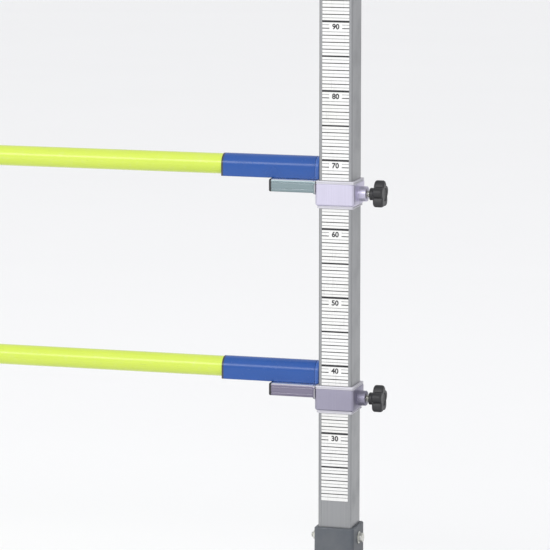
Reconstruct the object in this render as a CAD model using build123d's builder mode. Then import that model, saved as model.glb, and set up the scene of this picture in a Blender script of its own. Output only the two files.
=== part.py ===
"""A two-bar jump stand: two graduated uprights on T-shaped bases, with two height-adjustable crossbars.

Millimetres. +X runs along the crossbars, -Y is the front, where the scales are, and +Z is up.
The origin is on the floor, midway between the uprights. The two stands mirror each other about X = 0.
"""

from build123d import *
import os

os.makedirs("parts", exist_ok=True)

# Driving dimensions -----------------------------------------------------------------------------

# Crossbars
bar_length = 3000.0  # over both end caps
bar_diameter = 30.0
bar_wall = 2.0
end_piece_length = 148.0  # with its cap
end_piece_width = 32.0
end_cap_thickness = 6.0
end_spigot_length = 16.0  # of a cap, inside the tube
end_corner, end_chamfer = 1.5, 0.5  # of an end piece's flat underside and of its inner mouth
bar_axis_height = 16.5  # above the flat underside of the end pieces
glue_gap = 0.05  # radial, between the tube and what is glued on or in it
rest_gap = 0.1  # between an end piece and the support that carries it
bar_end_gap = 2.0  # from a crossbar's end to the face of the upright
support_levels = {"lower": 370.0, "upper": 670.0}  # heights the two crossbars are set to

# Uprights
upright_side = 50.0
upright_wall = 3.0
upright_corner = 3.0
upright_top = 1500.0
tape_width = 40.0
tape_thickness = 0.5
channel_depth = 0.6  # the tape lies just below the face, so that the sliders clear it
channel_clearance = 0.25
tape_bottom, tape_top = 200.0, 1450.0
upright_cap_height = 7.0
upright_spigot_length = 18.0  # of the cap, inside the tube
plug_clearance = 0.2  # each side, of a plug's spigot in its tube

# Bases
pad_height = 10.0  # rubber feet
tube_width, tube_height, tube_wall, tube_corner = 60.0, 30.0, 2.5, 4.0
foot_length = 560.0  # front to back, over the plugs
leg_length = 350.0  # outwards from the foot, over the plug
plug_flange, plug_spigot_length = 4.0, 14.0
foot_inset = 30.0  # from a tube's mouth to the middle of the rubber foot under it
foot_pad_length, foot_pad_width, foot_pad_corner = 64.0, 44.0, 8.0
socket_side = 60.0
socket_clearance = 0.2
socket_height = 120.0
gusset_thickness, gusset_reach, gusset_rise, gusset_nose = 5.0, 75.0, 55.0, 8.0
bolt_diameter = 8.0
bolt_hole_clearance = 0.25
bolt_flange_diameter, bolt_flange_thickness = 18.0, 1.6
bolt_flats = 13.0
bolt_head_height, nut_height = 7.0, 8.0  # with their flanges
bolt_reach = 11.0  # of the tip past the socket
bolt_heights = (112.0, 142.0)

# Sliders
slider_side, slider_depth = 59.0, 60.0  # along the bars and front to back
slider_bore_side = 54.0
slider_height = 40.0  # over both glides, with its top level with the support
slider_corner = 5.0
glide_clearance = 0.1  # each side, on the upright
glide_lip = 4.0
glide_depth = 9.0
upper_lip_inset, lower_lip_inset = 0.6, 2.4  # of the lips from the sleeve's sides
lip_edge = 0.8
support_length, support_depth, support_height, support_corner = 66.4, 54.0, 18.5, 3.0
shoulder_length, shoulder_margin = 3.3, 1.5  # the thicker root of the support, level with it on top
support_wall = 2.2
support_cap_flange, support_cap_spigot = 3.6, 12.0

# Clamps
boss_diameter, boss_length = 22.0, 12.0
screw_diameter = 10.0
screw_clearance = 0.05
pad_clearance = 0.1
clamp_pad_diameter, clamp_pad_length = 9.6, 4.0
stem_diameter, stem_length = 4.0, 4.0  # of the pad, in the end of the screw
screw_in_knob = 16.0
knob_gap = 4.0  # from the boss to the knob's hub
knob_hub_diameter, knob_hub_length = 18.0, 7.0
knob_diameter, knob_head_length, knob_lobes = 42.0, 15.0, 5
lobe_radius, hollow_radius = 7.5, 6.5

# Worked-out places ------------------------------------------------------------------------------

upright_x = bar_length / 2 + bar_end_gap + upright_side / 2
tube_top = pad_height + tube_height
tube_middle = pad_height + tube_height / 2
front_face = -upright_side / 2
bore_radius = bar_diameter / 2 + glue_gap
clamp_drop = slider_height / 2  # clamp axis below the support's top face


def finish(piece, name):
    """Label a finished piece and write it to its own file."""
    piece.part.label = name
    export_step(piece.part, f"parts/{name}.step")


def square_tube(side, inner_side, corner, inner_corner, depth=None):
    """Add a ring with rounded corners to the open sketch; it is square unless a depth is given."""
    RectangleRounded(side, depth or side, corner)
    RectangleRounded(inner_side, inner_side, inner_corner, mode=Mode.SUBTRACT)


# Stands -----------------------------------------------------------------------------------------


def make_upright(name, side):
    """Square tube with a shallow channel down its front for the scale and two cross holes near its foot."""
    x = side * upright_x
    inner_side = upright_side - 2 * upright_wall
    with BuildPart() as upright:
        with BuildSketch(Plane(origin=(x, 0, tube_top))):
            square_tube(upright_side, inner_side, upright_corner, 1.0)
            with Locations((0, front_face)):
                Rectangle(tape_width + 2 * channel_clearance, 2 * channel_depth, mode=Mode.SUBTRACT)
        extrude(amount=upright_top - tube_top)
        with BuildSketch(Plane.YZ.offset(x)):
            with Locations(*[(0, height) for height in bolt_heights]):
                Circle(bolt_diameter / 2 + bolt_hole_clearance)
        extrude(amount=upright_side, both=True, mode=Mode.SUBTRACT)
    finish(upright, name)


def make_scale_tape(name, side):
    """Flat strip that lies in the upright's channel."""
    back = front_face + channel_depth
    with BuildPart() as tape:
        with BuildSketch(Plane(origin=(side * upright_x, back - tape_thickness / 2, tape_bottom))):
            Rectangle(tape_width, tape_thickness)
        extrude(amount=tape_top - tape_bottom)
    finish(tape, name)


def make_upright_cap(name, side):
    """Domed plug: a head as wide as the tube and a ribless spigot inside it."""
    x = side * upright_x
    spigot_side = upright_side - 2 * upright_wall - 2 * plug_clearance
    with BuildPart() as cap:
        with BuildSketch(Plane(origin=(x, 0, upright_top))):
            RectangleRounded(upright_side, upright_side, upright_corner)
        extrude(amount=upright_cap_height)
        fillet(cap.faces().sort_by(Axis.Z)[-1].edges(), radius=2.5)
        with BuildSketch(Plane(origin=(x, 0, upright_top - upright_spigot_length))):
            square_tube(spigot_side, spigot_side - 6.0, 1.0, 0.5)
        extrude(amount=upright_spigot_length)
    finish(cap, name)


def make_floor_tube(name, start, direction, length):
    """Flat rectangular floor tube that runs from a start point along a level direction."""
    across = Vector(0, 0, 1).cross(direction)
    with BuildPart() as tube:
        with BuildSketch(Plane(origin=start, x_dir=across, z_dir=direction)):
            RectangleRounded(tube_width, tube_height, tube_corner)
            RectangleRounded(
                tube_width - 2 * tube_wall, tube_height - 2 * tube_wall, tube_corner - 2.0, mode=Mode.SUBTRACT
            )
        extrude(amount=length)
    finish(tube, name)


def make_end_plugs(name, mouths):
    """Plastic plugs, one in each open tube end; a mouth is the tube end's centre and outward direction."""
    with BuildPart() as plugs:
        for centre, outward in mouths:
            across = Vector(0, 0, 1).cross(outward)
            with BuildSketch(Plane(origin=centre, x_dir=across, z_dir=outward)):
                RectangleRounded(tube_width, tube_height, tube_corner)
            extrude(amount=plug_flange)
            with BuildSketch(Plane(origin=centre, x_dir=across, z_dir=outward)):
                inset = 2 * (tube_wall + plug_clearance)
                RectangleRounded(tube_width - inset, tube_height - inset, 1.6)
            extrude(amount=-plug_spigot_length)
        fillet(plugs.edges().filter_by(lambda edge: is_outermost(edge, mouths)), radius=1.5)
    finish(plugs, name)


def is_outermost(edge, mouths):
    """True when an edge lies in the outer face of one of the plugs."""
    return any(
        abs((edge.center() - centre).dot(outward) - plug_flange) < 0.01 for centre, outward in mouths
    )


def make_rubber_feet(name, places):
    """Pads under the floor tubes, each with its length across the tube."""
    with BuildPart() as feet:
        for x, y, length_x, length_y in places:
            with BuildSketch(Plane(origin=(x, y, 0))):
                RectangleRounded(length_x, length_y, foot_pad_corner)
            extrude(amount=pad_height, taper=4.0)
    finish(feet, name)


def make_socket(name, side):
    """Square steel sleeve that the upright stands in, drilled for the two cross bolts."""
    x = side * upright_x
    with BuildPart() as socket:
        with BuildSketch(Plane(origin=(x, 0, tube_top))):
            square_tube(socket_side, upright_side + 2 * socket_clearance, 5.0, upright_corner)
        extrude(amount=socket_height)
        with BuildSketch(Plane.YZ.offset(x)):
            with Locations(*[(0, height) for height in bolt_heights]):
                Circle(bolt_diameter / 2 + bolt_hole_clearance)
        extrude(amount=socket_side, both=True, mode=Mode.SUBTRACT)
        chamfer(socket.faces().sort_by(Axis.Z)[-1].outer_wire().edges(), length=1.2)
    finish(socket, name)


def make_gussets(name, side):
    """Three triangular plates with blunt noses: front, back and outer side of the socket."""
    directions = (Vector(0, -1, 0), Vector(0, 1, 0), Vector(side, 0, 0))
    with BuildPart() as gussets:
        for outward in directions:
            corner = Vector(side * upright_x, 0, tube_top) + outward * (socket_side / 2)
            with BuildSketch(Plane(origin=corner, x_dir=outward, z_dir=outward.cross(Vector(0, 0, 1)))):
                Polygon(
                    (0, 0),
                    (gusset_reach, 0),
                    (gusset_reach, gusset_nose),
                    (gusset_nose, gusset_rise),
                    (0, gusset_rise),
                    align=None,
                )
            extrude(amount=gusset_thickness / 2, both=True)
    finish(gussets, name)


def make_socket_bolts(name, side):
    """Two flanged hex bolts, heads on the outer side of the socket, tips past the nuts."""
    head_plane = side * (upright_x + socket_side / 2)
    with BuildPart() as bolts:
        for height in bolt_heights:
            with BuildSketch(Plane.YZ.offset(head_plane)):
                with Locations((0, height)):
                    Circle(bolt_flange_diameter / 2)
            extrude(amount=side * bolt_flange_thickness)
            with BuildSketch(Plane.YZ.offset(head_plane)):
                with Locations((0, height)):
                    RegularPolygon(radius=bolt_flats / 2, side_count=6, major_radius=False)
            extrude(amount=side * bolt_head_height)
            with BuildSketch(Plane.YZ.offset(head_plane)):
                with Locations((0, height)):
                    Circle(bolt_diameter / 2)
            extrude(amount=-side * (socket_side + bolt_reach))
    finish(bolts, name)


def make_socket_nuts(name, side):
    """Flanged nuts on the inner side of the socket."""
    nut_plane = side * (upright_x - socket_side / 2)
    with BuildPart() as nuts:
        for height in bolt_heights:
            with BuildSketch(Plane.YZ.offset(nut_plane)):
                with Locations((0, height)):
                    Circle(bolt_flange_diameter / 2)
            extrude(amount=-side * bolt_flange_thickness)
            with BuildSketch(Plane.YZ.offset(nut_plane)):
                with Locations((0, height)):
                    RegularPolygon(radius=bolt_flats / 2, side_count=6, major_radius=False)
            extrude(amount=-side * nut_height)
        with BuildSketch(Plane.YZ.offset(nut_plane)):
            with Locations(*[(0, height) for height in bolt_heights]):
                Circle(bolt_diameter / 2 + screw_clearance)
        extrude(amount=-side * nut_height, mode=Mode.SUBTRACT)
    finish(nuts, name)


def make_stand(hand, side):
    """Everything of one stand that doesn't slide."""
    x = side * upright_x
    half_foot = foot_length / 2 - plug_flange
    leg_start = side * (upright_x + tube_width / 2)
    leg_end = leg_start + side * (leg_length - plug_flange)
    outward = Vector(side, 0, 0)
    make_upright(f"{hand}_upright", side)
    make_scale_tape(f"{hand}_scale_tape", side)
    make_upright_cap(f"{hand}_upright_cap", side)
    make_floor_tube(f"{hand}_base_foot", (x, -half_foot, tube_middle), Vector(0, 1, 0), 2 * half_foot)
    make_floor_tube(f"{hand}_base_leg", (leg_start, 0, tube_middle), outward, leg_length - plug_flange)
    mouths = (
        (Vector(x, -half_foot, tube_middle), Vector(0, -1, 0)),
        (Vector(x, half_foot, tube_middle), Vector(0, 1, 0)),
        (Vector(leg_end, 0, tube_middle), outward),
    )
    make_end_plugs(f"{hand}_end_plugs", mouths)
    pad_y = half_foot - foot_inset
    across_foot, across_leg = (foot_pad_length, foot_pad_width), (foot_pad_width, foot_pad_length)
    leg_pad_x = leg_end - side * foot_inset
    places = ((x, -pad_y, *across_foot), (x, pad_y, *across_foot), (leg_pad_x, 0, *across_leg))
    make_rubber_feet(f"{hand}_rubber_feet", places)
    make_socket(f"{hand}_socket", side)
    make_gussets(f"{hand}_gussets", side)
    make_socket_bolts(f"{hand}_socket_bolts", side)
    make_socket_nuts(f"{hand}_socket_nuts", side)


# Sliders ----------------------------------------------------------------------------------------


def make_slider(name, side, level):
    """Square sleeve round the upright with a round threaded boss on its outer side."""
    x = side * upright_x
    sleeve_bottom = level - slider_height + glide_lip
    boss_face = side * (upright_x + slider_side / 2 + boss_length)
    with BuildPart() as slider:
        with BuildSketch(Plane(origin=(x, 0, sleeve_bottom))):
            square_tube(slider_side, slider_bore_side, slider_corner, 2.0, slider_depth)
        extrude(amount=slider_height - 2 * glide_lip)
        chamfer(slider.faces().sort_by(Axis.Z)[0].outer_wire().edges(), length=2.0)
        chamfer(slider.faces().sort_by(Axis.Z)[-1].outer_wire().edges(), length=0.8)
        with BuildSketch(Plane.YZ.offset(boss_face)):
            with Locations((0, level - clamp_drop)):
                Circle(boss_diameter / 2)
        extrude(amount=-side * (boss_length + 1.0))
        chamfer(slider.faces().sort_by(Axis.X)[-1 if side > 0 else 0].edges(), length=1.0)
        with BuildSketch(Plane.YZ.offset(boss_face)):
            with Locations((0, level - clamp_drop)):
                Circle(screw_diameter / 2 + screw_clearance)
        extrude(amount=-side * (boss_length + slider_side / 4), mode=Mode.SUBTRACT)
    finish(slider, name)


def make_glides(name, side, level):
    """Guide rings in the sleeve's two mouths; each has a thin wall inside and a lip over the edge."""
    x = side * upright_x
    inner_side = upright_side + 2 * glide_clearance
    rings = (
        (level - glide_lip, glide_lip, upper_lip_inset, -glide_depth),
        (level - slider_height + glide_lip, -glide_lip, lower_lip_inset, glide_depth),
    )
    with BuildPart() as glides:
        for shoulder, lip, inset, depth in rings:
            with BuildSketch(Plane(origin=(x, 0, shoulder))):
                lip_side, lip_depth = slider_side - 2 * inset, slider_depth - 2 * inset
                square_tube(lip_side, inner_side, slider_corner - inset, upright_corner, lip_depth)
            extrude(amount=lip)
            lip_faces = glides.faces().filter_by(Axis.Z).filter_by_position(
                Axis.Z, shoulder + lip - 0.01, shoulder + lip + 0.01
            )
            chamfer(lip_faces[0].outer_wire().edges(), length=lip_edge)
            with BuildSketch(Plane(origin=(x, 0, shoulder))):
                square_tube(slider_bore_side - 0.1, inner_side, 1.9, upright_corner)
            extrude(amount=depth)
    finish(glides, name)


def support_plane(x, side, level):
    """Plane across the support at x, centred on its section, facing the middle of the stand pair."""
    return Plane(origin=(x, 0, level - support_height / 2), x_dir=(0, -side, 0), z_dir=(-side, 0, 0))


def support_profile(margin):
    """Add the support's flat oval-edged section, smaller all round by a margin, to the open sketch."""
    RectangleRounded(support_depth - 2 * margin, support_height - 2 * margin, support_corner - margin)


def make_support(name, side, level):
    """Flat hollow bracket with a thicker root, which reaches inwards from the sleeve and carries the bar."""
    section = support_plane(side * (upright_x - slider_side / 2), side, level)
    with BuildPart() as support:
        with BuildSketch(section):
            support_profile(0)
        extrude(amount=support_length)
        with BuildSketch(section):
            with Locations((0, -shoulder_margin / 2)):
                shoulder_depth = support_depth + 2 * shoulder_margin
                RectangleRounded(shoulder_depth, support_height + shoulder_margin, support_corner + 1.0)
        extrude(amount=shoulder_length)
        with BuildSketch(section.offset(support_wall)):
            support_profile(support_wall)
        extrude(amount=support_length, mode=Mode.SUBTRACT)
    finish(support, name)


def make_support_cap(name, side, level):
    """Plug in the open end of the bracket."""
    section = support_plane(side * (upright_x - slider_side / 2 - support_length), side, level)
    with BuildPart() as cap:
        with BuildSketch(section):
            support_profile(0)
        extrude(amount=support_cap_flange)
        fillet(cap.faces().sort_by(Axis.X)[0 if side > 0 else -1].edges(), radius=1.2)
        with BuildSketch(section):
            support_profile(support_wall + plug_clearance)
        extrude(amount=-support_cap_spigot)
    finish(cap, name)


def make_pressure_pad(name, side, level):
    """Brass tip that bears on the upright, with a stem that turns in the end of the screw."""
    tip = side * (upright_x + upright_side / 2 + pad_clearance)
    shoulder = tip + side * clamp_pad_length
    with BuildPart() as pad:
        with BuildSketch(Plane.YZ.offset(tip)):
            with Locations((0, level - clamp_drop)):
                Circle(clamp_pad_diameter / 2)
        extrude(amount=side * clamp_pad_length)
        chamfer(pad.faces().sort_by(Axis.X)[0 if side > 0 else -1].edges(), length=0.5)
        with BuildSketch(Plane.YZ.offset(shoulder)):
            with Locations((0, level - clamp_drop)):
                Circle(stem_diameter / 2)
        extrude(amount=side * stem_length)
    finish(pad, name)


def make_clamp_screw(name, side, level):
    """Screw from behind the pad, through the boss, into the knob, with a blind hole for the pad's stem."""
    tip = side * (upright_x + upright_side / 2 + pad_clearance + clamp_pad_length + pad_clearance)
    length = slider_side / 2 + boss_length + knob_gap + screw_in_knob - upright_side / 2 - clamp_pad_length
    with BuildPart() as screw:
        with BuildSketch(Plane.YZ.offset(tip)):
            with Locations((0, level - clamp_drop)):
                Circle(screw_diameter / 2)
        extrude(amount=side * length)
        chamfer(screw.faces().sort_by(Axis.X)[0 if side > 0 else -1].edges(), length=0.8)
        with BuildSketch(Plane.YZ.offset(tip)):
            with Locations((0, level - clamp_drop)):
                Circle(stem_diameter / 2 + screw_clearance)
        extrude(amount=side * (stem_length + 0.5), mode=Mode.SUBTRACT)
    finish(screw, name)


def make_clamp_knob(name, side, level):
    """Five-lobed star knob with a hub, moulded round the end of the screw."""
    hub_face = side * (upright_x + slider_side / 2 + boss_length + knob_gap)
    head_face = hub_face + side * knob_hub_length
    lobe_reach = knob_diameter / 2 - lobe_radius
    screw_end = hub_face + side * (screw_in_knob + 0.3)
    half_step = 180.0 / knob_lobes
    with BuildPart() as knob:
        with BuildSketch(Plane.YZ.offset(hub_face)):
            with Locations((0, level - clamp_drop)):
                Circle(knob_hub_diameter / 2)
        extrude(amount=side * knob_hub_length)
        with BuildSketch(Plane.YZ.offset(head_face)):
            with Locations((0, level - clamp_drop)):
                Circle(knob_diameter / 2 - 4.0)
                with PolarLocations(lobe_reach, knob_lobes, start_angle=90):
                    Circle(lobe_radius)
                with PolarLocations(knob_diameter / 2 - 1.0, knob_lobes, start_angle=90 + half_step):
                    Circle(hollow_radius, mode=Mode.SUBTRACT)
        extrude(amount=side * knob_head_length)
        fillet(knob.faces().sort_by(Axis.X)[-1 if side > 0 else 0].edges(), radius=2.0)
        with BuildSketch(Plane.YZ.offset(hub_face)):
            with Locations((0, level - clamp_drop)):
                Circle(screw_diameter / 2 + glue_gap)
        extrude(amount=screw_end - hub_face, mode=Mode.SUBTRACT)
    finish(knob, name)


def make_slider_unit(prefix, side, level):
    """One slider with its glides, bracket and clamp."""
    make_slider(f"{prefix}_slider", side, level)
    make_glides(f"{prefix}_glides", side, level)
    make_support(f"{prefix}_support", side, level)
    make_support_cap(f"{prefix}_support_cap", side, level)
    make_pressure_pad(f"{prefix}_pressure_pad", side, level)
    make_clamp_screw(f"{prefix}_clamp_screw", side, level)
    make_clamp_knob(f"{prefix}_clamp_knob", side, level)


# Crossbars --------------------------------------------------------------------------------------


def end_section():
    """Add the end piece's outline to the open sketch: half-round top, straight sides, flat bottom."""
    Circle(end_piece_width / 2)
    with Locations((0, -bar_axis_height / 2)):
        Rectangle(end_piece_width, bar_axis_height)


def make_end_piece(name, side, axis_height):
    """Moulded sleeve that the tube is glued into."""
    shoulder = side * (bar_length / 2 - end_piece_length)
    length = end_piece_length - end_cap_thickness
    with BuildPart() as end_piece:
        with BuildSketch(Plane.YZ.offset(shoulder)) as outline:
            with Locations((0, axis_height)):
                end_section()
            corners = outline.vertices().group_by(Axis.Y)[0]
            fillet(corners, radius=end_corner)
        extrude(amount=side * length)
        chamfer(end_piece.faces().sort_by(Axis.X)[0 if side > 0 else -1].edges(), length=end_chamfer)
        with BuildSketch(Plane.YZ.offset(shoulder)):
            with Locations((0, axis_height)):
                Circle(bore_radius)
        extrude(amount=side * length, mode=Mode.SUBTRACT)
    finish(end_piece, name)


def make_end_caps(name, axis_height):
    """The two caps that close the ends; each has a spigot inside the tube."""
    with BuildPart() as caps:
        for side in (-1, 1):
            seam = side * (bar_length / 2 - end_cap_thickness)
            with BuildSketch(Plane.YZ.offset(seam)) as outline:
                with Locations((0, axis_height)):
                    end_section()
                fillet(outline.vertices().group_by(Axis.Y)[0], radius=end_corner)
            extrude(amount=side * end_cap_thickness)
            fillet(caps.faces().sort_by(Axis.X)[-1 if side > 0 else 0].edges(), radius=1.5)
            with BuildSketch(Plane.YZ.offset(seam)):
                with Locations((0, axis_height)):
                    Circle(bar_diameter / 2 - bar_wall - glue_gap)
            extrude(amount=-side * end_spigot_length)
    finish(caps, name)


def make_bar(name, axis_height):
    """Round tube that reaches through the end pieces to their caps."""
    with BuildPart() as bar:
        with BuildSketch(Plane.YZ):
            with Locations((0, axis_height)):
                Circle(bar_diameter / 2)
                Circle(bar_diameter / 2 - bar_wall, mode=Mode.SUBTRACT)
        extrude(amount=bar_length / 2 - end_cap_thickness, both=True)
    finish(bar, name)


def make_crossbar(prefix, level):
    """Tube, end pieces and caps of one crossbar, resting on the supports at its level."""
    axis_height = level + rest_gap + bar_axis_height
    make_bar(f"{prefix}_bar", axis_height)
    make_end_piece(f"{prefix}_left_end_piece", -1, axis_height)
    make_end_piece(f"{prefix}_right_end_piece", 1, axis_height)
    make_end_caps(f"{prefix}_end_caps", axis_height)


for hand, side in (("left", -1), ("right", 1)):
    make_stand(hand, side)
    for place, level in support_levels.items():
        make_slider_unit(f"{place}_{hand}", side, level)
for place, level in support_levels.items():
    make_crossbar(place, level)
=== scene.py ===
"""The looks of the two-bar jump stand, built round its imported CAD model. Metres throughout."""

import bpy
import bmesh
import math
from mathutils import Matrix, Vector


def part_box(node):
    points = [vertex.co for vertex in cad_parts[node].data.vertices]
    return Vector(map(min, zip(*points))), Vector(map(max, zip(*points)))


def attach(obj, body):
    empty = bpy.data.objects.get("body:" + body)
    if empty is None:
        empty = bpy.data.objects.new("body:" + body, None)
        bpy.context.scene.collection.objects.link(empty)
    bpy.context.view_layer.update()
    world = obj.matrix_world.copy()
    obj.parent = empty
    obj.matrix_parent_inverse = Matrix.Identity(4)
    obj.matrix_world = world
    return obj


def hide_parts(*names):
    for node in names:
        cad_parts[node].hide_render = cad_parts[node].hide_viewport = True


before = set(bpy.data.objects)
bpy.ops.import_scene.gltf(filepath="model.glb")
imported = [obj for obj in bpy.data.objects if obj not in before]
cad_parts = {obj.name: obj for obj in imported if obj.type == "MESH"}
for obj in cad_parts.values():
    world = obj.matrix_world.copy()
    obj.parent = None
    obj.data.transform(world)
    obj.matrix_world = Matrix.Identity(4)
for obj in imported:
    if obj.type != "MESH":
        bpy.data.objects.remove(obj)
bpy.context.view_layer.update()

MM = 0.001
UP = Vector((0, 0, 1))
HANDS = {"left": -1, "right": 1}
PLACES = ("lower", "upper")
LENGTHWISE, UPWARDS = (1, 0, 0), (0, 0, 1)


# Materials --------------------------------------------------------------------------------------


class Finish:
    """A Principled material put together from procedural layers. Lengths are metres on the object."""

    def __init__(self, name, colour, roughness, **sockets):
        self.material = bpy.data.materials.new(name)
        self.material.use_nodes = True
        self.nodes = self.material.node_tree.nodes
        self.links = self.material.node_tree.links
        self.shader = self.nodes["Principled BSDF"]
        self.place = self.nodes.new("ShaderNodeTexCoord").outputs["Object"]
        self.shader.inputs["Base Color"].default_value = (*colour, 1)
        self.shader.inputs["Roughness"].default_value = roughness
        for socket, value in sockets.items():
            self.shader.inputs[socket.replace("_", " ")].default_value = value
        self.colour, self.roughness, self.height = None, None, None

    def math(self, operation, *values):
        node = self.nodes.new("ShaderNodeMath")
        node.operation = operation
        for socket, value in zip(node.inputs, values):
            self.feed(socket, value)
        return node.outputs[0]

    def feed(self, socket, value):
        """Give a socket a plain value, or link it to another node's output."""
        if isinstance(value, bpy.types.NodeSocket):
            self.links.new(value, socket)
        else:
            socket.default_value = value

    def noise(self, grain, detail=3.0, roughness=0.55, offset=0.0):
        """Noise from 0 to 1 with features about grain long; three grains stretch it along the axes."""
        grain = grain if isinstance(grain, tuple) else (grain,) * 3
        mapping = self.nodes.new("ShaderNodeMapping")
        mapping.inputs["Scale"].default_value = [1 / length for length in grain]
        mapping.inputs["Location"].default_value = (offset, 2 * offset, 3 * offset)
        self.links.new(self.place, mapping.inputs["Vector"])
        texture = self.nodes.new("ShaderNodeTexNoise")
        texture.inputs["Scale"].default_value = 1.0
        texture.inputs["Detail"].default_value = detail
        texture.inputs["Roughness"].default_value = roughness
        self.links.new(mapping.outputs[0], texture.inputs["Vector"])
        return texture.outputs[0]

    def between(self, value, low, high, low_out=0.0, high_out=1.0):
        """Stretch low..high of a value over low_out..high_out."""
        node = self.nodes.new("ShaderNodeMapRange")
        for socket, number in zip(node.inputs, (value, low, high, low_out, high_out)):
            self.feed(socket, number)
        return node.outputs[0]

    def bevel(self, radius):
        """Normals that turn smoothly round each edge, from a radius before it to a radius after it."""
        node = self.nodes.new("ShaderNodeBevel")
        node.samples = 6
        node.inputs["Radius"].default_value = radius
        return node.outputs[0]

    def edges(self, radius):
        """1 on convex and concave edges, fading to 0 a radius away."""
        product = self.nodes.new("ShaderNodeVectorMath")
        product.operation = "DOT_PRODUCT"
        self.links.new(self.bevel(radius), product.inputs[0])
        self.links.new(self.nodes.new("ShaderNodeNewGeometry").outputs["True Normal"], product.inputs[1])
        return self.between(product.outputs["Value"], 0.995, 0.8)

    def upward(self, most):
        """Up to most on faces that look up, 0 on those that don't."""
        normal = self.nodes.new("ShaderNodeSeparateXYZ")
        self.links.new(self.nodes.new("ShaderNodeNewGeometry").outputs["True Normal"], normal.inputs[0])
        return self.between(normal.outputs["Z"], 0.35, 0.8, 0.0, most)

    def nearer_than(self, distance, fade):
        """1 up to a distance from the middle of the crossbars, fading to 0 beyond it."""
        place = self.nodes.new("ShaderNodeSeparateXYZ")
        self.links.new(self.place, place.inputs[0])
        from_middle = self.math("ABSOLUTE", place.outputs["X"])
        return self.between(from_middle, distance, distance + fade, 1.0, 0.0)

    def tint(self, mask, colour):
        """Lay another colour over the finish where the mask is 1."""
        mix = self.nodes.new("ShaderNodeMix")
        mix.data_type = "RGBA"
        under, over, result = mix.inputs[6], mix.inputs[7], mix.outputs[2]
        self.feed(mix.inputs["Factor"], mask)
        self.feed(under, self.colour or tuple(self.shader.inputs["Base Color"].default_value))
        over.default_value = (*colour, 1)
        self.colour = result
        self.links.new(self.colour, self.shader.inputs["Base Color"])
        return self

    def roughen(self, mask, amount):
        """Add to the roughness where the mask is 1; a negative amount polishes."""
        base = self.roughness if self.roughness else self.shader.inputs["Roughness"].default_value
        self.roughness = self.math("ADD", base, self.math("MULTIPLY", mask, amount))
        self.links.new(self.roughness, self.shader.inputs["Roughness"])
        return self

    def relief(self, value, depth):
        """Raise the surface by depth where the value is 1."""
        step = self.math("MULTIPLY", value, depth)
        self.height = self.math("ADD", self.height, step) if self.height else step
        return self

    def done(self, soft_edge=None):
        """Connect the relief, over edges softened by a radius, and return the material."""
        bump = self.nodes.new("ShaderNodeBump")
        bump.inputs["Strength"].default_value = 1.0
        bump.inputs["Distance"].default_value = 1.0
        self.links.new(self.height, bump.inputs["Height"])
        if soft_edge:
            self.links.new(self.bevel(soft_edge), bump.inputs["Normal"])
        self.links.new(bump.outputs[0], self.shader.inputs["Normal"])
        return self.material


def drawn_metal(name, colour, roughness, along, soft_edge, painted_top_light=0.0):
    """Anodised extrusion: fine drawn lines along one axis, faint handling marks and brighter worn edges.

    The last argument is how strongly its upward faces are painted near-white, a painted highlight.
    """
    line = tuple(0.4 if axis else 0.0006 for axis in along)
    finish = Finish(name, colour, roughness, Metallic=1.0)
    lines = finish.noise(line, detail=4.0)
    smudges = finish.noise(0.05, detail=6.0, offset=3.1)
    scratch_grain = tuple(length * 0.35 for length in line)
    scratches = finish.between(finish.noise(scratch_grain, detail=2.0, offset=7.7), 0.69, 0.72)
    finish.tint(finish.between(lines, 0.35, 0.7), tuple(c * 0.9 for c in colour))
    finish.tint(finish.between(smudges, 0.52, 0.75, 0.0, 0.35), tuple(c * 0.82 for c in colour))
    finish.tint(finish.edges(0.0008), tuple(min(1.0, c * 1.12) for c in colour))
    if painted_top_light:
        # Painted highlight: upward faces tinted near-white, as where light falls on them.
        finish.tint(finish.upward(painted_top_light), (0.96, 0.965, 0.98))
    finish.roughen(finish.between(lines, 0.3, 0.7), 0.08)
    finish.roughen(finish.between(smudges, 0.45, 0.7), 0.12)
    finish.roughen(scratches, -0.1)
    finish.relief(lines, 0.00002).relief(scratches, -0.000015)
    return finish.done(soft_edge)


def moulded(name, colour, roughness, grain, worn, edge_radius, mouth_shade_to=None):
    """Moulded plastic: fine spark grain, flow mottling, light scuffs and paler worn edges.

    The last argument is how far from the crossbar's middle the painted shade at an end piece's mouth
    reaches.
    """
    finish = Finish(name, colour, roughness)
    pits = finish.noise(grain, detail=2.0)
    mottle = finish.noise(0.03, detail=5.0, offset=1.3)
    scuff_noise = finish.noise((0.012, 0.0012, 0.0012), detail=4.0, offset=5.2)
    scuffs = finish.between(scuff_noise, 0.68, 0.74, 0.0, 0.6)
    finish.tint(finish.between(mottle, 0.4, 0.8, 0.0, 0.35), tuple(c * 0.8 for c in colour))
    finish.tint(scuffs, worn)
    worn_edges = finish.math("MULTIPLY", finish.edges(edge_radius), finish.between(mottle, 0.35, 0.6))
    finish.tint(worn_edges, worn)
    # Painted shade: a dark band at the end piece's mouth, where it meets the bar.
    if mouth_shade_to:
        finish.tint(finish.nearer_than(mouth_shade_to, MOUTH_SHADE_FADE), (0.04, 0.042, 0.05))
    finish.roughen(finish.between(mottle, 0.3, 0.7), 0.1)
    finish.roughen(scuffs, 0.2)
    finish.relief(pits, grain * 0.04).relief(scuffs, -0.00001)
    return finish.done()


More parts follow.
